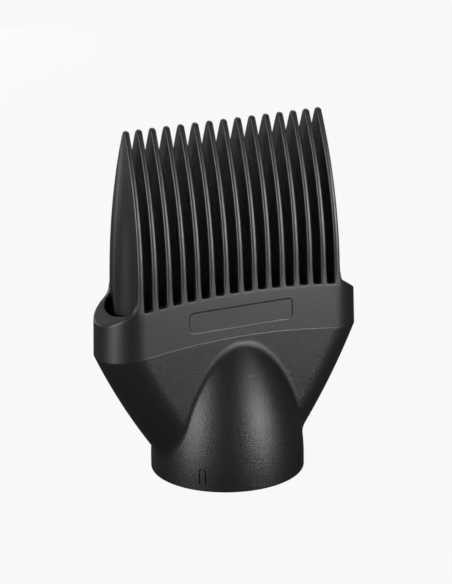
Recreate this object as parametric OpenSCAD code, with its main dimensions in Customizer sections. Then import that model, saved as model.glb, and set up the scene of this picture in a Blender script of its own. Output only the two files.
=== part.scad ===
// Comb nozzle that pushes onto the barrel of a hair dryer.
// One hollow moulding: a round collar swells up through a flat fan into a duct
// with round ends, and a row of plate teeth stands across the duct's mouth.
// Millimetres. The origin is the middle of the collar's rim, the teeth point
// up along Z, the comb runs along X and its broad faces look along Y.

/* [Teeth] */
// Number of teeth in the row
tooth_count = 15; // [11:2:15]
// Distance from the middle of one tooth to the next
tooth_pitch = 5; // [4.8:0.1:5.4]
// Thickness of a tooth at its root
tooth_root = 2.07; // [1.6:0.01:2.4]
// Thickness of a tooth along its upper part
tooth_tip = 1.56; // [1.2:0.01:1.8]
// Height of the tips above the collar's rim
tip_height = 118.2; // [108:0.1:122]
// Radius of the arcs that bring a tooth's two edges together
tooth_arc_r = 114; // [110:1:125]
// Radius of a tooth's tip, seen from the end of the row
tip_r = 1.05; // [0.8:0.05:1.4]
// How far the tip of an end tooth stands in towards the middle
end_lean = 1.2; // [0:0.05:1.5]

/* [Duct] */
// Width of the duct over its round ends
duct_width = 92; // [89:0.1:94]
// Depth of the duct from its front face to its back face
duct_depth = 24.7; // [22:0.1:26]
// Thickness of the walls
wall = 2; // [1.6:0.1:2.4]
// Height of the mouth's edge between the middle teeth
mouth_crown = 63.7; // [60:0.1:66]
// Radius of the arch that the mouth's edge follows
mouth_arch_r = 277; // [250:1:400]
// Height of the sloping roof at each end, where it meets the end tooth's line
roof_height = 62.3; // [61:0.1:64]
// Fall of the roof for each millimetre outwards
roof_fall = 0.6; // [0.4:0.01:0.7]
// Radius of the fillet from the roof up into the end tooth
roof_fillet_r = 5.1; // [3:0.1:6]
// Radius of the arc that ends the vent through the roof
vent_r = 9.8; // [8:0.1:10]
// Length of the vent outwards from the end tooth
vent_length = 5.4; // [4.5:0.1:6]

/* [Fan] */
// Height of the seam at the middle of the faces
seam_crown = 48.9; // [46:0.1:50]
// Radius of the arch that the seam follows
seam_arch_r = 232; // [220:1:400]
// How far the duct stands proud of the fan at the seam
seam_step = 0.12; // [0.05:0.01:0.3]
// Lean of the fan's sides from upright at the seam, in degrees
fan_angle = 26; // [20:0.5:27]
// Radius of the long curve of the fan's sides
fan_side_r = 200; // [180:5:260]

/* [Collar] */
// Outside diameter of the collar
collar_d = 51; // [49:0.1:53]
// Diameter of the socket for the dryer's barrel
socket_d = 47; // [45:0.1:47]
// Depth of the socket up to the step that stops the barrel
socket_depth = 12; // [8:0.5:14]
// Radius of the curve that draws the collar in to the faces
swell_r = 76.6; // [74:0.2:82]
// Height at which the collar starts to draw in
swell_start = 3; // [1:0.5:5]
// Width of the small chamfers on the collar's rim
rim_chamfer = 0.2; // [0.1:0.1:0.6]

/* [Hidden] */

plastic = "#2b2b2d";
round_fn = 96;
arc_fn = 720;

half_depth = duct_depth / 2;
duct_end_x = duct_width / 2;
round_x = duct_end_x - half_depth;
end_tooth_x = (tooth_count - 1) / 2 * tooth_pitch;
tooth_face_x = end_tooth_x + tooth_root / 2;

// Every cutter runs this far past the surface that it cuts
past = 4;
// A round cutter that would only touch a face is let into it by this much
let_in = 0.02;
// Height of the lower edges of the teeth, inside the duct
vane_z = 53;
// Height of the tooth roots and of the knee in their side taper
root_z = 62;
knee_z = 97;
// The fan's sides are drawn over these degrees below fan_angle
fan_sweep = 14;
fan_overrun = 3;

// Outlines in the XZ plane get a depth along Y, centred on the middle plane
module along_y(depth) {
    rotate([90, 0, 0]) linear_extrude(depth, center = true) children();
}

// Outlines drawn as Y, Z get a width along X, centred on the middle plane
module along_x(width) {
    rotate([90, 0, 90]) linear_extrude(width, center = true) children();
}

module both_ends() {
    children();
    mirror([1, 0, 0]) children();
}

// A disc whose top is an arch of the given radius and crown height
module arch_disc(radius, crown) {
    translate([0, crown - radius]) circle(r = radius, $fn = arc_fn);
}

function roof_z(x) = roof_height - roof_fall * (x - tooth_face_x);

// Where a circle that touches an upright line at x = 0 on its right side
// touches a slope that falls by roof_fall: its centre and its foot
roof_angle = atan(roof_fall);
fillet_x = tooth_face_x + roof_fillet_r;
fillet_foot_x = fillet_x - roof_fillet_r * sin(roof_angle);
fillet_z = roof_z(fillet_foot_x) + roof_fillet_r * cos(roof_angle);

// Side view of one end of the duct: the roof and its fillet, less a skin
module roof_outline(skin) {
    out_x = duct_end_x + past;
    drop = skin / cos(roof_angle);
    difference() {
        polygon([
            [0, seam_crown - past],
            [out_x, seam_crown - 3 * past],
            [out_x, roof_z(out_x) - drop],
            [fillet_foot_x, roof_z(fillet_foot_x) - drop],
            [tooth_face_x, skin > 0 ? roof_z(tooth_face_x) - drop : fillet_z],
            [end_tooth_x, skin > 0 ? roof_z(tooth_face_x) - drop : fillet_z],
            [end_tooth_x, seam_crown]
        ]);
        if (skin == 0)
            translate([fillet_x, fillet_z]) circle(r = roof_fillet_r + let_in, $fn = round_fn);
    }
}

// Side view of the duct above the seam
module duct_outline() {
    difference() {
        union() {
            intersection() {
                arch_disc(mouth_arch_r, mouth_crown);
                translate([-end_tooth_x, seam_crown - 3 * past])
                    square([2 * end_tooth_x, mouth_crown]);
            }
            both_ends() roof_outline(0);
        }
        arch_disc(seam_arch_r, seam_crown);
    }
}

// Upright prism with round ends, seen from above two circles and a square
module stadium(radius, bottom, top) {
    translate([0, 0, bottom]) linear_extrude(top - bottom) {
        both_ends() translate([round_x, 0]) circle(r = radius, $fn = round_fn);
        square([2 * round_x, 2 * radius], center = true);
    }
}

module duct_outside() {
    intersection() {
        along_y(duct_depth + past) duct_outline();
        stadium(half_depth, seam_crown - 3 * past, mouth_crown + 3 * past);
    }
}

// Middle line of the fan's round edge: an arc about this centre. At the seam
// the round edge reaches out as far as the duct's round end does.
fan_top_z = seam_crown - duct_end_x * duct_end_x / (2 * seam_arch_r);
fan_top_x = duct_end_x - (half_depth - seam_step) / cos(fan_angle);
fan_centre = [fan_top_x - fan_side_r * cos(fan_angle), fan_top_z + fan_side_r * sin(fan_angle)];

// The fan, with its faces and round edges drawn in by a skin
module fan_solid(skin) {
    radius = half_depth - seam_step - skin;
    intersection() {
        union() {
            both_ends() translate([fan_centre.x, 0, fan_centre.y]) rotate([90, 0, 0])
                rotate([0, 0, -fan_angle - fan_sweep])
                    rotate_extrude(angle = fan_sweep + fan_overrun, $fn = arc_fn)
                        translate([fan_side_r, 0]) circle(r = radius, $fn = round_fn);
            along_y(2 * radius) intersection() {
                translate(fan_centre) circle(r = fan_side_r, $fn = arc_fn);
                mirror([1, 0]) translate(fan_centre) circle(r = fan_side_r, $fn = arc_fn);
                translate([-duct_end_x, fan_bottom_z]) square([duct_width, seam_crown]);
            }
        }
        along_y(duct_depth + past) intersection() {
            arch_disc(seam_arch_r, seam_crown);
            translate([-duct_end_x, 0]) square([duct_width, seam_crown + past]);
        }
    }
}
fan_bottom_z = fan_centre.y - fan_side_r * sin(fan_angle + fan_sweep);

// Turned outline of the collar and the swell above it, less a skin
module swell_outline(skin) {
    radius = collar_d / 2 - skin;
    intersection() {
        translate([collar_d / 2 - swell_r, swell_start])
            circle(r = swell_r - skin, $fn = arc_fn);
        translate([0, swell_start]) square([radius, seam_crown]);
    }
    translate([0, -past]) square([radius, swell_start + past]);
}

module swell_outside() {
    rotate_extrude($fn = round_fn * 2) intersection() {
        swell_outline(0);
        polygon([
            [0, 0],
            [collar_d / 2 - rim_chamfer, 0],
            [collar_d / 2, rim_chamfer],
            [collar_d / 2, seam_crown],
            [0, seam_crown]
        ]);
    }
}

// The air's way: the swell and the fan inside their walls, up to the mouth
module air_way() {
    rotate_extrude($fn = round_fn * 2) swell_outline(wall);
    fan_solid(wall);
    intersection() {
        along_y(duct_depth + past) {
            both_ends() roof_outline(wall);
            translate([-end_tooth_x, seam_crown - 3 * past])
                square([2 * end_tooth_x, mouth_crown]);
        }
        stadium(half_depth - wall, fan_top_z, mouth_crown + 3 * past);
    }
}

// The round socket, with a chamfer that leads the barrel in
module socket() {
    translate([0, 0, -past]) cylinder(d = socket_d, h = socket_depth + past, $fn = round_fn);
    translate([0, 0, -past]) cylinder(
        r1 = socket_d / 2 + rim_chamfer + past,
        r2 = socket_d / 2,
        h = rim_chamfer + past,
        $fn = round_fn
    );
}

// The vent in the roof beside each end tooth
module vents() {
    both_ends() intersection() {
        translate([tooth_face_x + vent_length - vent_r, 0, vane_z])
            cylinder(r = vent_r, h = tip_height, $fn = round_fn);
        translate([tooth_face_x, -half_depth, vane_z]) cube([duct_depth, duct_depth, tip_height]);
    }
}

// Front edge, tip and back edge of a tooth, drawn as Y, Z
arc_start_z = tip_height - tip_r
    - sqrt(pow(tooth_arc_r - tip_r, 2) - pow(tooth_arc_r - half_depth, 2));
tip_centre_z = tip_height - tip_r;
tip_joint_z = tip_centre_z + tip_r * (tip_centre_z - arc_start_z) / (tooth_arc_r - tip_r);

module tooth_profile() {
    translate([0, tip_centre_z]) circle(r = tip_r, $fn = round_fn);
    intersection() {
        translate([half_depth - tooth_arc_r, arc_start_z]) circle(r = tooth_arc_r, $fn = arc_fn);
        translate([tooth_arc_r - half_depth, arc_start_z]) circle(r = tooth_arc_r, $fn = arc_fn);
        translate([-half_depth, arc_start_z]) square([duct_depth, tip_joint_z - arc_start_z]);
    }
    translate([-half_depth, vane_z]) square([duct_depth, arc_start_z - vane_z]);
}

// Face of a tooth in the XZ plane, with its taper and its lean
module tooth_face(lean) {
    root = tooth_root / 2;
    tip = tooth_tip / 2;
    knee = lean * (knee_z - root_z) / (tip_height - root_z);
    translate([lean, tip_height - tip]) circle(r = tip, $fn = round_fn);
    polygon([
        [-root, vane_z],
        [root, vane_z],
        [root, root_z],
        [knee + tip, knee_z],
        [lean + tip, tip_height - tip],
        [lean - tip, tip_height - tip],
        [knee - tip, knee_z],
        [-root, root_z]
    ]);
}

// Shrinkage draws the end teeth inwards and hardly moves the middle ones
function lean_of(x) = -end_lean * pow(x / end_tooth_x, 5);

module teeth() {
    for (i = [0 : tooth_count - 1]) {
        x = i * tooth_pitch - end_tooth_x;
        translate([x, 0, 0]) intersection() {
            along_y(duct_depth + past) tooth_face(lean_of(x));
            along_x(3 * tooth_root + 2 * end_lean) tooth_profile();
        }
    }
}

module comb_nozzle() {
    color(plastic) {
        difference() {
            union() {
                swell_outside();
                fan_solid(0);
                duct_outside();
            }
            air_way();
            socket();
            vents();
        }
        teeth();
    }
}

comb_nozzle();
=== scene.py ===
"""Comb nozzle for a hair dryer: the looks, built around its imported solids.

The nozzle is one black moulding: a collar that swells up through a flat fan, a
duct above the seam, and fifteen plate teeth across the duct's mouth. Sizes are
in millimetres and angles in degrees until a vertex or an object is placed.
"""

import logging
import math
from dataclasses import dataclass, field
from enum import Enum
from typing import Any

import bpy
import numpy as np
from mathutils import Matrix, Vector


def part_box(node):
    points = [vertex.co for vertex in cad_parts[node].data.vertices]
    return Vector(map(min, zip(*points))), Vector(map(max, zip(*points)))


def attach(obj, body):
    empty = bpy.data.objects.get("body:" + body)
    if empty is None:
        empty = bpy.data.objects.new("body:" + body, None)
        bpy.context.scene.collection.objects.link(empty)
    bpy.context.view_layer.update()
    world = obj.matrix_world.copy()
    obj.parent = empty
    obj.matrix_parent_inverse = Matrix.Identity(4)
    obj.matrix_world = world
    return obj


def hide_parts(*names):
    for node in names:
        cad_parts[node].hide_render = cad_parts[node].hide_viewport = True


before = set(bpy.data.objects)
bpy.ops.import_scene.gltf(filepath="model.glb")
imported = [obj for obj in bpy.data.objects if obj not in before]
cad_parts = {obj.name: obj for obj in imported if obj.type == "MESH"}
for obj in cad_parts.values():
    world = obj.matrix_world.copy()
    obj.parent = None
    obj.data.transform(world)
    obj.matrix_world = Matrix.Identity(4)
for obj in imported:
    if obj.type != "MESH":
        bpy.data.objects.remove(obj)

LOG = logging.getLogger("comb_nozzle")
MM = 0.001
BODY = "root"
NODE = "comb_nozzle"


def linear(hex_colour: str) -> tuple[float, float, float, float]:
    """Turns an sRGB hex colour to the linear colour that a shader takes.

    Args:
        hex_colour: The colour, such as "#2b2b2d".

    Returns:
        Red, green, blue and an alpha of 1.
    """
    parts = [int(hex_colour[i:i + 2], 16) / 255 for i in (1, 3, 5)]
    red, green, blue = [c / 12.92 if c <= 0.04045 else ((c + 0.055) / 1.055) ** 2.4 for c in parts]
    return red, green, blue, 1.0


def add_node(
    tree: bpy.types.NodeTree, kind: str, settings: dict[str, Any] | None = None, **links: Any
) -> bpy.types.Node:
    """Adds one shader node, sets it up and links what feeds it.

    Args:
        tree: The node tree that takes the node.
        kind: The node's type, such as "ShaderNodeBump".
        settings: Attributes of the node to set, by name.
        **links: Inputs by name, spaces as underscores, or by number as at_0. A node's
            output socket is linked, and anything else becomes the input's value.

    Returns:
        The new node.
    """
    node = tree.nodes.new(kind)
    for name, value in (settings or {}).items():
        setattr(node, name, value)
    for name, value in links.items():
        number = name.removeprefix("at_")
        socket = node.inputs[int(number) if number.isdigit() else name.replace("_", " ")]
        if isinstance(value, bpy.types.NodeSocket):
            tree.links.new(value, socket)
        else:
            socket.default_value = value
    return node


def toward(azimuth: float, elevation: float) -> Vector:
    """Gives the unit vector at an azimuth from the front, -Y, and an elevation."""
    flat = math.cos(math.radians(elevation))
    turn = math.radians(azimuth)
    return Vector((math.sin(turn) * flat, -math.cos(turn) * flat, math.sin(math.radians(elevation))))


@dataclass(frozen=True)
class SoftBox:
    """A diffused rectangular lamp that faces the nozzle."""

    name: str
    azimuth: float
    elevation: float
    distance: float
    width: float
    height: float
    watts: float

    def build(self, aim: Vector) -> bpy.types.Object:
        """Adds the lamp.

        Args:
            aim: The point that the lamp faces, in metres.

        Returns:
            The lamp's object.
        """
        spot = aim + toward(self.azimuth, self.elevation) * self.distance * MM
        bpy.ops.object.light_add(type="AREA", location=spot)
        lamp = bpy.context.object
        lamp.name = self.name
        lamp.rotation_euler = (aim - spot).to_track_quat("-Z", "Y").to_euler()
        lamp.data.shape = "RECTANGLE"
        lamp.data.size = self.width * MM
        lamp.data.size_y = self.height * MM
        lamp.data.energy = self.watts
        return lamp


@dataclass
class Studio:
    """Floor, lamps, world and camera.

    The lamps stand low at both sides, so that they draw the upright bands of light
    on the collar. The one behind lights the gaps between the teeth and the far side,
    and the one above lights the tooth tips.
    """

    azimuth: float = -24.99
    elevation: float = 18.14
    roll: float = -0.67
    distance: float = 778.2
    aim_height: float = 61.25
    aim_right: float = 0.16
    aim_up: float = -1.07
    lens: float = 147.05
    sensor: float = 36.0
    floor_width: float = 4000.0
    paper: str = "#202020"
    paper_glow: float = 0.93
    sheen: float = 0.05
    room: float = 0.09
    lamps: tuple[SoftBox, ...] = (
        SoftBox("left_soft_box", -75, 3.5, 700, 240, 190, 4.9),
        SoftBox("right_soft_box", 27.5, 3.5, 700, 150, 190, 5.3),
        SoftBox("rim_soft_box", -141, 7, 700, 230, 240, 0.55),
        SoftBox("back_soft_box", 180, 3, 700, 420, 200, 1.3),
        SoftBox("top_soft_box", 150, 72, 700, 300, 300, 2.6),
    )

    def build(self) -> None:
        """Sets up the whole studio."""
        self.floor()
        self.world()
        self.camera()
        for lamp in self.lamps:
            lamp.build(Vector((0, 0, self.aim_height)) * MM)
        LOG.info("studio ready")

    def paper_finish(self) -> bpy.types.Material:
        """Makes the seamless paper: white to the camera, and dim to the nozzle's gloss.

        Returns:
            The material.
        """
        finish = bpy.data.materials.new("seamless_paper")
        finish.use_nodes = True
        tree = finish.node_tree
        tree.nodes.clear()
        path = add_node(tree, "ShaderNodeLightPath")
        seen = add_node(tree, "ShaderNodeMath", {"operation": "MAXIMUM"},
                        at_0=path.outputs["Is Camera Ray"], at_1=path.outputs["Is Transmission Ray"])
        seen = add_node(tree, "ShaderNodeMath", {"operation": "MULTIPLY_ADD"},
                        at_0=path.outputs["Is Glossy Ray"], at_1=self.sheen, at_2=seen.outputs[0])
        glow = add_node(tree, "ShaderNodeMath", {"operation": "MULTIPLY"},
                        at_0=seen.outputs[0], at_1=self.paper_glow)
        paper = add_node(tree, "ShaderNodeBsdfDiffuse", Color=linear(self.paper))
        light = add_node(tree, "ShaderNodeEmission", Color=linear("#ffffff"), Strength=glow.outputs[0])
        both = add_node(tree, "ShaderNodeAddShader", at_0=paper.outputs[0], at_1=light.outputs[0])
        add_node(tree, "ShaderNodeOutputMaterial", Surface=both.outputs[0])
        return finish

    def floor(self) -> None:
        """Lays one wide sheet of paper as the floor, which runs on past the picture."""
        bpy.ops.object.select_all(action="DESELECT")
        bpy.ops.mesh.primitive_plane_add(size=self.floor_width * MM, location=(0, 0, 0))
        sheet = bpy.context.object
        sheet.name = "floor"
        sheet.data.materials.append(self.paper_finish())

    def world(self) -> None:
        """Sets a dim even room that the camera sees as white."""
        world = bpy.data.worlds.new("studio_room")
        bpy.context.scene.world = world
        world.use_nodes = True
        tree = world.node_tree
        tree.nodes.clear()
        path = add_node(tree, "ShaderNodeLightPath")
        room = add_node(tree, "ShaderNodeBackground", Color=linear("#ffffff"), Strength=self.room)
        white = add_node(tree, "ShaderNodeBackground", Color=linear("#fcfcfc"), Strength=1.0)
        mixed = add_node(tree, "ShaderNodeMixShader", at_0=path.outputs["Is Camera Ray"],
                         at_1=room.outputs[0], at_2=white.outputs[0])
        add_node(tree, "ShaderNodeOutputWorld", Surface=mixed.outputs[0])

    def camera(self) -> None:
        """Adds the camera at the photograph's place and makes it the scene's."""
        back = toward(self.azimuth, self.elevation)
        side = Vector((0, 0, 1)).cross(back).normalized()
        top = back.cross(side)
        aim = Vector((0, 0, self.aim_height)) + side * self.aim_right + top * self.aim_up
        turn = Matrix.Rotation(math.radians(self.roll), 3, back)
        side, top = turn @ side, turn @ top
        spot = (aim + back * self.distance) * MM
        axes = Matrix((side, top, back)).transposed().to_4x4()
        bpy.ops.object.camera_add()
        camera = bpy.context.object
        camera.name = "camera"
        camera.matrix_world = Matrix.Translation(spot) @ axes
        camera.data.lens = self.lens
        camera.data.sensor_width = self.sensor
        camera.data.clip_start = 10 * MM
        bpy.context.scene.camera = camera


@dataclass(frozen=True)
class MouldedPlastic:
    """Black polypropylene, as it comes out of a steel mould."""

    name: str
    colour: str
    roughness: float
    gloss: float
    grain_mm: float
    grain_height: float
    grain_share: float = 0.35
    grain_octaves: float = 3.0
    refraction: float = 1.49

    def build(self) -> bpy.types.Material:
        """Makes the material.

        Returns:
            The material.
        """
        finish = bpy.data.materials.new(self.name)
        finish.use_nodes = True
        tree = finish.node_tree
        tree.nodes.clear()
        place = add_node(tree, "ShaderNodeTexCoord")
        grain = add_node(tree, "ShaderNodeTexNoise", {"noise_dimensions": "3D"},
                         Vector=place.outputs["Object"], Scale=1 / (self.grain_mm * MM),
                         Detail=self.grain_octaves)
        bump = add_node(tree, "ShaderNodeBump", Height=grain.outputs[0],
                        Strength=self.grain_share, Distance=self.grain_height * MM)
        shader = add_node(tree, "ShaderNodeBsdfPrincipled", Base_Color=linear(self.colour),
                          Roughness=self.roughness, IOR=self.refraction,
                          Specular_IOR_Level=self.gloss, Normal=bump.outputs[0])
        add_node(tree, "ShaderNodeOutputMaterial", Surface=shader.outputs[0])
        return finish


# Collar, swell and fan come from a spark-eroded mould wall. Its fine even grain breaks
# the bands of light up into a soft sparkle. Real grain is about 0.15 mm across; it is
# drawn at 0.34 mm, so that it shows.
GRAINED = MouldedPlastic(
    "spark_grained_polypropylene", colour="#121213", roughness=0.40, gloss=0.38,
    grain_mm=0.34, grain_height=0.28)
# Duct and teeth come from a finely blasted mould wall, which leaves a smooth satin that
# only a close look finds uneven.
SATIN = MouldedPlastic(
    "satin_moulded_polypropylene", colour="#121213", roughness=0.40, gloss=0.50,
    grain_mm=0.34, grain_height=0.16)


class Ends(Enum):
    """What a loft does with its first and last ring, as the circle's fill type."""

    FLAT = "NGON"
    JOINED = "NOTHING"


class Bench:
    """The modelling moves that the pieces share."""

    @staticmethod
    def rest() -> None:
        """Leaves edit mode and deselects everything."""
        if bpy.context.mode != "OBJECT":
            bpy.ops.object.mode_set(mode="OBJECT")
        bpy.ops.object.select_all(action="DESELECT")

    @staticmethod
    def take(piece: bpy.types.Object) -> None:
        """Makes a piece the active object and the only selected one."""
        Bench.rest()
        piece.select_set(True)
        bpy.context.view_layer.objects.active = piece

    @staticmethod
    def loft(name: str, rings: list[np.ndarray], ends: Ends) -> bpy.types.Object:
        """Extrudes a circle ring by ring, and sets each ring to its outline.

        Args:
            name: The piece's name.
            rings: Outlines in millimetres, one array of points for each, all of one count.
            ends: FLAT keeps a flat end on the first and last ring. JOINED bridges
                the last ring to the first, as on a tube that is closed on itself.

        Returns:
            The closed piece.
        """
        Bench.rest()
        count = len(rings[0])
        bpy.ops.mesh.primitive_circle_add(
            vertices=count, radius=MM, fill_type=ends.value, location=(0, 0, 0))
        piece = bpy.context.object
        piece.name = piece.data.name = name
        bpy.ops.object.mode_set(mode="EDIT")
        bpy.ops.mesh.select_all(action="SELECT")
        for _ in rings[1:]:
            bpy.ops.mesh.extrude_region_move(TRANSFORM_OT_translate={"value": (0, 0, MM)})
        bpy.ops.object.mode_set(mode="OBJECT")
        places = np.concatenate(rings).astype(np.float32) * MM
        piece.data.vertices.foreach_set("co", places.ravel())
        piece.data.update()
        bpy.ops.object.mode_set(mode="EDIT")
        if ends is Ends.JOINED:
            bpy.ops.mesh.select_mode(type="EDGE")
            bpy.ops.mesh.select_all(action="DESELECT")
            bpy.ops.mesh.select_non_manifold(extend=False)
            bpy.ops.mesh.bridge_edge_loops()
            bpy.ops.mesh.select_mode(type="VERT")
        bpy.ops.mesh.select_all(action="SELECT")
        bpy.ops.mesh.normals_make_consistent(inside=False)
        bpy.ops.object.mode_set(mode="OBJECT")
        return piece

    @staticmethod
    def carve(piece: bpy.types.Object, cutter: bpy.types.Object) -> None:
        """Cuts one shape out of a piece and removes the cutter.

        Args:
            piece: The piece that is cut.
            cutter: A closed mesh, which is deleted.
        """
        Bench.take(piece)
        cut = piece.modifiers.new("cut", "BOOLEAN")
        cut.operation = "DIFFERENCE"
        cut.solver = "EXACT"
        cut.object = cutter
        bpy.ops.object.modifier_apply(modifier=cut.name)
        bpy.data.objects.remove(cutter)

    @staticmethod
    def finish(piece: bpy.types.Object, material: bpy.types.Material, angle: float) -> None:
        """Shades a piece, gives it its material and fits it to the frame.

        Args:
            piece: The finished mesh.
            material: Its material.
            angle: Edges that turn by more than this many degrees stay sharp.
        """
        Bench.take(piece)
        bpy.ops.object.shade_smooth_by_angle(angle=math.radians(angle))
        piece.data.materials.clear()
        piece.data.materials.append(material)
        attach(piece, BODY)
        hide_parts(NODE)
        LOG.info("%s: %d faces", piece.name, len(piece.data.polygons))


@dataclass
class Sizes:
    """Driving sizes of the moulding, the reach of which comes from the frame."""

    collar_radius: float = 25.5
    depth: float = 24.7
    wall: float = 2.0
    seam_crown: float = 48.9
    seam_radius: float = 232.0
    seam_step: float = 0.12
    tooth_count: int = 15
    tooth_pitch: float = 5.0
    tooth_root: float = 2.07
    tooth_tip: float = 1.86
    end_x: float = field(init=False)
    tip_height: float = field(init=False)

    def __post_init__(self) -> None:
        """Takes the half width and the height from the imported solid's box."""
        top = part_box(NODE)[1]
        self.end_x = top[0] / MM
        self.tip_height = top[2] / MM

    @property
    def half_depth(self) -> float:
        """Half of the duct's depth."""
        return self.depth / 2

    @property
    def round_x(self) -> float:
        """Place of the duct's end centres along X."""
        return self.end_x - self.half_depth

    @property
    def end_tooth_x(self) -> float:
        """Place of the end teeth along X."""
        return (self.tooth_count - 1) / 2 * self.tooth_pitch

    @property
    def tooth_face_x(self) -> float:
        """Outer face of the end teeth at their roots."""
        return self.end_tooth_x + self.tooth_root / 2

    def seam(self, x: np.ndarray) -> np.ndarray:
        """Height of the seam at each x."""
        return self.seam_crown - self.seam_radius + np.sqrt(self.seam_radius ** 2 - x ** 2)


def steps(first: float, last: float, count: int) -> np.ndarray:
    """Gives evenly spaced values, both ends included."""
    return np.linspace(first, last, count)


@dataclass
class Spread:
    """The collar, its swell and the fan, up to the seam."""

    sizes: Sizes
    finish: bpy.types.Material
    swell_radius: float = 76.6
    swell_start: float = 3.0
    side_radius: float = 200.0
    side_lean: float = 26.0
    socket_radius: float = 23.5
    socket_depth: float = 12.0
    rim_round: float = 0.3
    lip_height: float = 0.35
    lip_inset: float = 0.12
    blend_crown: float = 0.8
    blend_flank: float = 1.9
    mark_azimuths: tuple[float, ...] = (-133.6, -46.4, 46.4, 133.6)
    mark_half_gap: float = 1.0
    mark_low: float = 2.4
    mark_high: float = 7.7
    mark_line: float = 0.5
    mark_depth: float = 0.45
    around_end: int = 40
    around_face: int = 120
    rows: int = 120
    inner_rows: int = 40
    settling: int = 6
    crease: float = 35.0

    def __post_init__(self) -> None:
        """Works out the centre of the fan's side curve."""
        s = self.sizes
        lean = math.radians(self.side_lean)
        top_z = s.seam_crown - s.end_x ** 2 / (2 * s.seam_radius)
        top_x = s.end_x - (s.half_depth - s.seam_step) / math.cos(lean)
        self.side_x = top_x - self.side_radius * math.cos(lean)
        self.side_z = top_z + self.side_radius * math.sin(lean)

    def swell(self, z: np.ndarray, skin: float) -> np.ndarray:
        """Radius of the collar and swell at each height, less a skin."""
        rise = np.maximum(z - self.swell_start, 0)
        reach = self.swell_radius - skin
        flat = self.sizes.collar_radius - self.swell_radius
        return np.maximum(flat + np.sqrt(np.maximum(reach ** 2 - rise ** 2, 0)), 0.5)

    def fan(self, angle: np.ndarray, z: np.ndarray, skin: float) -> np.ndarray:
        """Distance from the axis to the fan's outline, less a skin.

        Args:
            angle: Direction of each point seen from above, in radians.
            z: Height of each point.
            skin: How far the faces and round edges are drawn in.

        Returns:
            The distances.
        """
        half = self.sizes.half_depth - self.sizes.seam_step - skin
        drop = self.side_z - z
        centre = np.maximum(self.side_x + np.sqrt(self.side_radius ** 2 - drop ** 2), 0)
        across = half / np.sqrt(1 - (drop / self.side_radius) ** 2)
        c, s = np.abs(np.cos(angle)), np.abs(np.sin(angle))
        face = half / np.maximum(s, 1e-6)
        a = (c / across) ** 2 + (s / half) ** 2
        b = c * centre / across ** 2
        root = np.sqrt(np.maximum(b ** 2 - a * ((centre / across) ** 2 - 1), 0))
        return np.where(face * c <= centre, face, (b + root) / a)

    def reach(self, angle: np.ndarray, z: np.ndarray, skin: float) -> np.ndarray:
        """Joins swell and fan with a fillet, tight at the crown and softer on the flanks."""
        swell, fan = self.swell(z, skin), self.fan(angle, z, skin)
        blend = self.blend_crown + (self.blend_flank - self.blend_crown) * np.abs(np.cos(angle))
        near = np.maximum(blend - np.abs(swell - fan), 0) / blend
        return np.maximum(swell, fan) + near ** 2 * blend / 4

    def directions(self) -> np.ndarray:
        """Directions of the ring points: those of a duct outline, evenly run.

        Returns:
            Angles in radians, counter-clockwise.
        """
        s = self.sizes
        turn = np.radians(steps(-90, 90, self.around_end + 1)[:-1])
        end = np.stack([s.round_x + s.half_depth * np.cos(turn), s.half_depth * np.sin(turn)], 1)
        x = steps(s.round_x, -s.round_x, self.around_face + 1)[:-1]
        face = np.stack([x, np.full_like(x, s.half_depth)], 1)
        half = np.concatenate([end, face])
        whole = np.concatenate([half, -half])
        return np.arctan2(whole[:, 1], whole[:, 0])

    def ring(self, angle: np.ndarray, share: float, bottom: float, skin: float) -> np.ndarray:
        """Draws one outline between a flat bottom and the arched seam.

        Args:
            angle: Directions of its points.
            share: 0 at the bottom, 1 at the seam.
            bottom: Height of the flat bottom.
            skin: How far inside the outer surface the outline runs.

        Returns:
            The outline's points.
        """
        z = np.full_like(angle, bottom)
        for _ in range(self.settling):
            radius = self.reach(angle, z, skin)
            z = bottom + share * (self.sizes.seam(np.abs(radius * np.cos(angle))) - bottom)
        return np.stack([radius * np.cos(angle), radius * np.sin(angle), z], 1)

    def flat_ring(self, angle: np.ndarray, radius: float, z: float) -> np.ndarray:
        """Draws a level circle with the same directions."""
        return np.stack([radius * np.cos(angle), radius * np.sin(angle), np.full_like(angle, z)], 1)

    def build(self) -> bpy.types.Object:
        """Models the shell and its guide marks.

        Returns:
            The finished piece.
        """
        angle = self.directions()
        r, edge = self.sizes.collar_radius, self.rim_round
        rings = [self.flat_ring(angle, r - edge * (1 - math.sin(t)), edge * (1 - math.cos(t)))
                 for t in np.radians(steps(0, 90, 5))]
        rings += [self.ring(angle, q, edge, 0) for q in steps(0, 1, self.rows)[1:-1]]
        lip = self.lip_height / (self.sizes.seam_crown - edge)
        rings += [self.ring(angle, 1 - lip, edge, 0), self.ring(angle, 1, edge, self.lip_inset)]
        rings += [self.ring(angle, q, self.socket_depth, self.sizes.wall)
                  for q in steps(1, 0, self.inner_rows)]
        rings += [self.flat_ring(angle, self.socket_radius, z)
                  for z in (self.socket_depth, self.socket_depth / 2, edge)]
        rings += [self.flat_ring(angle, self.socket_radius + edge, 0)]
        piece = Bench.loft("fan_and_collar", rings, Ends.JOINED)
        for azimuth in self.mark_azimuths:
            Bench.carve(piece, self.mark_cutter(azimuth))
        Bench.finish(piece, self.finish, self.crease)
        return piece

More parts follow.
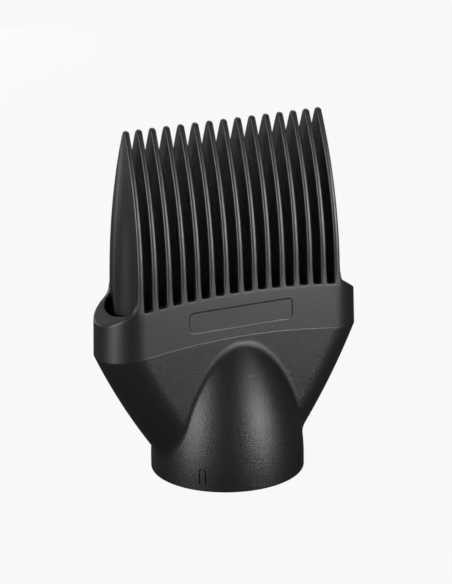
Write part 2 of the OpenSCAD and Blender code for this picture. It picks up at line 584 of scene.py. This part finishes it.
    def mark_cutter(self, azimuth: float) -> bpy.types.Object:
        """Models the cutter for one guide mark: a bar bent to an upside-down U.

        Args:
            azimuth: Direction of the mark, counted from +X.

        Returns:
            The cutter.
        """
        half_gap, r = self.mark_half_gap, self.sizes.collar_radius
        bend = [(half_gap * math.cos(t), self.mark_high - half_gap + half_gap * math.sin(t))
                for t in np.radians(steps(0, 180, 13))]
        middle = [(half_gap, self.mark_low)] + bend + [(-half_gap, self.mark_low)]
        rings = []
        for i, (u, v) in enumerate(middle):
            before, after = middle[max(i - 1, 0)], middle[min(i + 1, len(middle) - 1)]
            along = np.array([after[0] - before[0], after[1] - before[1]])
            side = np.array([along[1], -along[0]]) / np.hypot(*along) * self.mark_line / 2
            deep, clear = r - self.mark_depth, r + 1
            rings.append(np.array([
                (deep, u - side[0], v - side[1]), (clear, u - side[0], v - side[1]),
                (clear, u + side[0], v + side[1]), (deep, u + side[0], v + side[1])]))
        cutter = Bench.loft("mark_cutter", rings, Ends.FLAT)
        cutter.data.transform(Matrix.Rotation(math.radians(azimuth), 4, "Z"))
        return cutter


@dataclass
class Duct:
    """The duct above the seam, with its mouth, end roofs and vents."""

    sizes: Sizes
    finish: bpy.types.Material
    mouth_crown: float = 63.7
    mouth_radius: float = 277.0
    roof_height: float = 62.3
    roof_fall: float = 0.6
    fillet_radius: float = 5.1
    vent_half_width: float = 10.3
    vent_length: float = 5.5
    edge_round: float = 0.32
    inner_round: float = 0.12
    slot_round: float = 0.5
    seam_round: float = 0.06
    draft: float = 0.03
    tooth_cover: float = 1.2
    ceiling_reach: float = 1.5
    panel_size: tuple[float, float] = (36.4, 6.75)
    panel_place: tuple[float, float] = (-0.15, 55.6)
    panel_corner: float = 1.5
    panel_walls: tuple[float, float] = (0.1, 0.32)
    panel_depth: float = 0.12
    panel_above: float = 0.3
    fillet_points: int = 9
    end_points: int = 30
    hidden_points: int = 5
    corner_points: int = 7
    edge_points: int = 7
    wall_rows: int = 10
    top_rows: int = 8
    crease: float = 17.0

    def __post_init__(self) -> None:
        """Works out the fillet between roof and end tooth."""
        s = self.sizes
        slope = math.atan(self.roof_fall)
        self.fillet_x = s.tooth_face_x + self.fillet_radius
        self.foot_x = self.fillet_x - self.fillet_radius * math.sin(slope)
        foot_z = self.roof_height - self.roof_fall * (self.foot_x - s.tooth_face_x)
        self.fillet_z = foot_z + self.fillet_radius * math.cos(slope)

    def mouth(self, x: np.ndarray) -> np.ndarray:
        """Height of the mouth's edge in the middle of the slots."""
        return self.mouth_crown - self.mouth_radius + np.sqrt(self.mouth_radius ** 2 - x ** 2)

    def roof(self, x: np.ndarray) -> np.ndarray:
        """Height of the plain sloping roof."""
        return self.roof_height - self.roof_fall * (np.abs(x) - self.sizes.tooth_face_x)

    def top(self, x: np.ndarray) -> np.ndarray:
        """Height of the mouth's edge, the roof and their fillets at each x."""
        s = self.sizes
        x = np.abs(x)
        off = np.abs((x + s.tooth_pitch / 2) % s.tooth_pitch - s.tooth_pitch / 2)
        near = np.clip(self.slot_round - (off - s.tooth_root / 2), 0, self.slot_round)
        mouth = self.mouth(x) + self.slot_round - np.sqrt(self.slot_round ** 2 - near ** 2)
        roof = self.roof(x)
        away = np.clip(self.fillet_x - x, 0, self.fillet_radius)
        fillet = self.fillet_z - np.sqrt(self.fillet_radius ** 2 - away ** 2)
        outside = np.where(x < self.foot_x, fillet, roof)
        return np.where(x < s.end_tooth_x, mouth, outside)

    def outline(self) -> tuple[np.ndarray, np.ndarray, np.ndarray]:
        """Draws the duct seen from above.

        Returns:
            The outer outline, its outward normals, and the edge of the openings,
            point for point: the inner wall along the mouth and the vents' edges.
        """
        s = self.sizes
        bend = np.radians(steps(0, 90 - math.degrees(math.atan(self.roof_fall)), self.fillet_points))
        x = self.fillet_x - self.fillet_radius * np.cos(bend)
        fillet_turn = np.arccos((x - s.round_x) / s.half_depth)
        rest_turn = steps(fillet_turn[-1], 0, self.end_points)[1:]
        slot_x = s.end_tooth_x - s.tooth_root / 2
        slot_turn = math.acos((slot_x - s.round_x) / s.half_depth)
        hidden_turn = steps(slot_turn, fillet_turn[0], self.hidden_points)[1:-1]
        turn = np.concatenate([hidden_turn, fillet_turn, rest_turn])
        swing = np.arccos((x - s.tooth_face_x) / self.vent_length)
        swing = np.concatenate([swing, steps(swing[-1], 0, self.end_points)[1:]])
        vent = np.stack([s.tooth_face_x + self.vent_length * np.cos(swing),
                         self.vent_half_width * np.sin(swing)], 1)
        inner_y = s.half_depth - s.wall
        hidden = np.linspace((slot_x, inner_y), vent[0], self.hidden_points)[1:-1]
        inner_end = np.concatenate([hidden, vent])
        outer_end = np.stack([s.round_x + s.half_depth * np.cos(turn), s.half_depth * np.sin(turn)], 1)
        normal_end = np.stack([np.cos(turn), np.sin(turn)], 1)
        flip = np.array([1, -1])
        quarter = [a[::-1] for a in (outer_end, normal_end, inner_end)]
        lower = [a[1:] * flip for a in (outer_end[::-1], normal_end[::-1], inner_end[::-1])]
        lower = [a[::-1] for a in lower]
        end = [np.concatenate([lo, up]) for lo, up in zip(lower, quarter)]
        x = self.slot_places()
        over = np.clip(np.abs(x) - s.round_x, 0, None) * np.sign(x) / s.half_depth
        upright = np.sqrt(1 - over ** 2)
        face = [np.stack([x, s.half_depth * upright], 1),
                np.stack([over, upright], 1),
                np.stack([x, np.full_like(x, inner_y)], 1)]
        half = [np.concatenate([e, f]) for e, f in zip(end, face)]
        outer, normal, inner = [np.concatenate([h, -h]) for h in half]
        return outer, normal, inner

    def slot_places(self) -> np.ndarray:
        """Chooses places along the mouth's edge, close together in the slots' corners.

        Returns:
            The places, from the last slot's outer side to the first's.
        """
        s = self.sizes
        bend = np.radians(steps(0, 90, self.corner_points))
        corner = s.tooth_root / 2 + self.slot_round * (1 - np.cos(bend))
        half = np.concatenate([corner, steps(corner[-1], s.tooth_pitch / 2, 3)[1:]])
        slot = np.concatenate([half, s.tooth_pitch - half[-2::-1]])
        starts = np.arange(s.tooth_count - 1) * s.tooth_pitch - s.end_tooth_x
        return np.concatenate([start + slot for start in starts])[::-1]

    def lift(self, plan: np.ndarray, z: np.ndarray) -> np.ndarray:
        """Puts plan points at their heights, and draws the ends in by the draft.

        Args:
            plan: Points seen from above.
            z: Their heights.

        Returns:
            Points in space.
        """
        s = self.sizes
        share = np.clip((np.abs(plan[:, 0]) - s.tooth_face_x) / (s.end_x - s.tooth_face_x), 0, 1)
        rise = np.maximum(z - s.seam(np.full(1, s.end_x)), 0)
        x = plan[:, 0] - np.sign(plan[:, 0]) * self.draft * rise * share
        return np.stack([x, plan[:, 1], z], 1)

    def build(self) -> bpy.types.Object:
        """Models the duct as one shell, up outside, over the top and down inside.

        Returns:
            The finished piece.
        """
        s = self.sizes
        outer, normal, opening = self.outline()
        base = s.seam(outer[:, 0])
        crown = self.top(outer[:, 0]) - self.edge_round
        bend = np.radians(steps(0, 90, self.edge_points)[1:])
        rings = []
        for t in np.radians(steps(0, 90, 3)):
            inset = self.seam_round * (1 - math.sin(t))
            rings.append(self.lift(outer - normal * inset, base + self.seam_round * (1 - math.cos(t))))
        shoulder = np.minimum(self.mouth(outer[:, 0]), self.roof(outer[:, 0])) - self.tooth_cover
        for q in steps(0, 1, self.wall_rows)[1:]:
            rings.append(self.lift(outer, base + self.seam_round + q * (shoulder - base - self.seam_round)))
        rings.append(self.lift(outer, crown))
        for t in bend:
            plan = outer - normal * self.edge_round * (1 - math.cos(t))
            rings.append(self.lift(plan, self.top(plan[:, 0]) - self.edge_round * (1 - math.sin(t))))
        start = outer - normal * self.edge_round
        gap = start - opening
        toward_wall = gap / np.linalg.norm(gap, axis=1, keepdims=True)
        stop = opening + toward_wall * self.inner_round
        for q in steps(0, 1, self.top_rows)[1:]:
            plan = start + (stop - start) * q
            rings.append(self.lift(plan, self.top(plan[:, 0])))
        for t in bend:
            plan = opening + toward_wall * self.inner_round * (1 - math.sin(t))
            rings.append(self.lift(plan, self.top(plan[:, 0]) - self.inner_round * (1 - math.cos(t))))
        under = self.top(opening[:, 0]) - s.wall
        rings.append(self.lift(opening, under))
        inside = outer - normal * s.wall
        below = np.minimum(self.top(inside[:, 0]) - s.wall, under + self.ceiling_reach)
        for q in (0.0, 0.5, 1.0):
            rings.append(self.lift(inside, below + q * (s.seam(inside[:, 0]) - below)))
        piece = Bench.loft("duct", rings, Ends.JOINED)
        Bench.carve(piece, self.panel_cutter())
        Bench.finish(piece, self.finish, self.crease)
        return piece

    def panel_cutter(self) -> bpy.types.Object:
        """Models the cutter for the engraved frame on the front face.

        Returns:
            The cutter, a V-shaped bar bent round to a closed frame with rounded corners.
        """
        half_x, half_z, r = self.panel_size[0] / 2, self.panel_size[1] / 2, self.panel_corner
        middle_x, middle_z = self.panel_place
        front, above = -self.sizes.half_depth, self.panel_above
        inner, outer = (wall * (above / self.panel_depth + 1) for wall in self.panel_walls)
        rings = []
        for start, x, z in ((-90, half_x - r, r - half_z), (0, half_x - r, half_z - r),
                            (90, r - half_x, half_z - r), (180, r - half_x, r - half_z)):
            for t in np.radians(steps(start, start + 90, 9)):
                along_x, along_z = math.cos(t), math.sin(t)
                rings.append(np.array([
                    (middle_x + x + (r + out) * along_x, front + deep, middle_z + z + (r + out) * along_z)
                    for out, deep in ((-inner, -above), (0.0, self.panel_depth), (outer, -above))]))
        return Bench.loft("panel_cutter", rings, Ends.JOINED)


@dataclass
class Teeth:
    """The row of plate teeth, which reach down into the duct."""

    sizes: Sizes
    duct: Duct
    finish: bpy.types.Material
    arc_radius: float = 114.0
    tip_radius: float = 1.35
    knee: float = 97.0
    root: float = 62.0
    foot: float = 53.0
    corner_foot: float = 0.25
    corner_blade: float = 0.8
    corner_climb: float = 6.0
    corner_share: float = 0.85
    corner_points: int = 8
    side_points: int = 24
    end_lean: float = 1.2
    end_bend: int = 5
    boss: float = 2.9
    boss_reach: float = 0.8
    buried: float = 0.6
    proud: float = 0.003
    edge_clear: float = 0.6
    step_down: tuple[float, ...] = (0.5, 0.35, 0.3)
    cover: float = 0.32
    blade_start: float = 60.6
    blade_rows: int = 44
    dome: float = 2.2
    dome_rows: int = 12
    point: float = 0.004
    crease: float = 30.0

    def half_depth_at(self, z: float) -> float:
        """Half of a tooth's depth at a height, to the tip's round end."""
        s = self.sizes
        centre = s.tip_height - self.tip_radius
        start = centre - math.sqrt((self.arc_radius - self.tip_radius) ** 2
                                   - (self.arc_radius - s.half_depth) ** 2)
        joint = centre + self.tip_radius * (centre - start) / (self.arc_radius - self.tip_radius)
        if z <= start:
            return s.half_depth
        if z <= joint:
            return s.half_depth - self.arc_radius + math.sqrt(self.arc_radius ** 2 - (z - start) ** 2)
        return math.sqrt(max(self.tip_radius ** 2 - (z - centre) ** 2, 1e-6))

    def half_width_at(self, z: float) -> float:
        """Half of a tooth's thickness at a height."""
        s = self.sizes
        root, tip = s.tooth_root / 2, s.tooth_tip / 2
        top = s.tip_height - tip
        if z > top:
            return math.sqrt(max(tip ** 2 - (z - top) ** 2, 1e-6))
        share = min(max((z - self.root) / (self.knee - self.root), 0), 1)
        return root + (tip - root) * share

    def section(self, z: float, sunk: float, corner: float) -> np.ndarray:
        """Draws a tooth's level section.

        Args:
            z: Its height.
            sunk: How far the front and back edges lie under the duct's faces.
            corner: Radius of its four corners.

        Returns:
            The outline's points, counter-clockwise from the front edge.
        """
        w, d = self.half_width_at(z), self.half_depth_at(z) - sunk
        r = min(corner, self.corner_share * w, self.corner_share * d)
        bend = np.radians(steps(0, 90, self.corner_points))
        front = [(w - r + r * math.sin(t), r - d - r * math.cos(t)) for t in bend]
        side = [(w, y) for y in steps(r - d, d - r, self.side_points + 2)[1:-1]]
        back = [(w - r + r * math.cos(t), d - r + r * math.sin(t)) for t in bend]
        half = np.array(front + side + back)
        whole = np.concatenate([half, -half])
        return np.column_stack([whole, np.full(len(whole), z)])

    def heights(self) -> list[float]:
        """Heights of the sections, from the foot to the tip."""
        top = self.sizes.tip_height
        low = [self.foot, self.blade_start - self.edge_clear]
        climb = list(steps(self.blade_start, top - self.dome, self.blade_rows))
        bend = np.radians(steps(0, 90, self.dome_rows + 2)[1:-1])
        dome = [top - self.dome * (1 - math.sin(t)) for t in bend]
        return low + climb + dome + [top - self.point]

    def rings_for(self, x: float) -> list[np.ndarray]:
        """Draws all the sections of the tooth at one place of the row.

        Args:
            x: The tooth's place.

        Returns:
            The sections, with the tooth's lean and, on an end tooth, its swelling side.
        """
        s = self.sizes
        edge = float(self.duct.mouth(np.array([x]))[0])
        lean = -self.end_lean * (x / s.end_tooth_x) ** self.end_bend
        heights = [z for z in self.heights() if abs(z - edge) > self.edge_clear]
        heights = sorted(heights + [edge - drop for drop in self.step_down])
        rings = []
        for z in heights:
            climb = min(max(z - edge, 0) / self.corner_climb, 1)
            corner = self.corner_foot + (self.corner_blade - self.corner_foot) * climb
            ring = self.section(z, self.buried if z < edge - self.cover else -self.proud, corner)
            if abs(x) > s.end_tooth_x - s.tooth_pitch / 2:
                outer = np.sign(x)
                width, depth = self.half_width_at(z), max(self.half_depth_at(z), 0.5)
                away = np.minimum(np.abs(ring[:, 1]) / (self.boss_reach * depth), 1)
                swell = self.boss * (depth / s.half_depth) ** 2 * np.cos(math.pi / 2 * away) ** 2
                ring[:, 0] += outer * swell * np.clip(outer * ring[:, 0] / width, 0, 1)
            share = max(z - self.root, 0) / (s.tip_height - self.root)
            ring[:, 0] += x + lean * share
            rings.append(ring)
        return rings

    def build(self) -> list[bpy.types.Object]:
        """Models one tooth and copies it along the row.

        Returns:
            The finished teeth.
        """
        s = self.sizes
        row = []
        for i in range(s.tooth_count):
            x = i * s.tooth_pitch - s.end_tooth_x
            rings = self.rings_for(x)
            if not row:
                tooth = Bench.loft("tooth_01", rings, Ends.FLAT)
            else:
                tooth = row[0].copy()
                tooth.data = row[0].data.copy()
                tooth.name = tooth.data.name = f"tooth_{i + 1:02d}"
                bpy.context.collection.objects.link(tooth)
                places = np.concatenate(rings).astype(np.float32) * MM
                tooth.data.vertices.foreach_set("co", places.ravel())
                tooth.data.update()
            row.append(tooth)
        for tooth in row:
            Bench.finish(tooth, self.finish, self.crease)
        return row


def main() -> None:
    """Builds the studio and the nozzle."""
    logging.basicConfig(level=logging.INFO, format="%(message)s")
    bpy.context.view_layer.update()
    bpy.context.scene.view_settings.view_transform = "Standard"
    Studio().build()
    satin = SATIN.build()
    sizes = Sizes()
    Spread(sizes, GRAINED.build()).build()
    duct = Duct(sizes, satin)
    duct.build()
    Teeth(sizes, duct, satin).build()


if __name__ == "__main__":
    main()
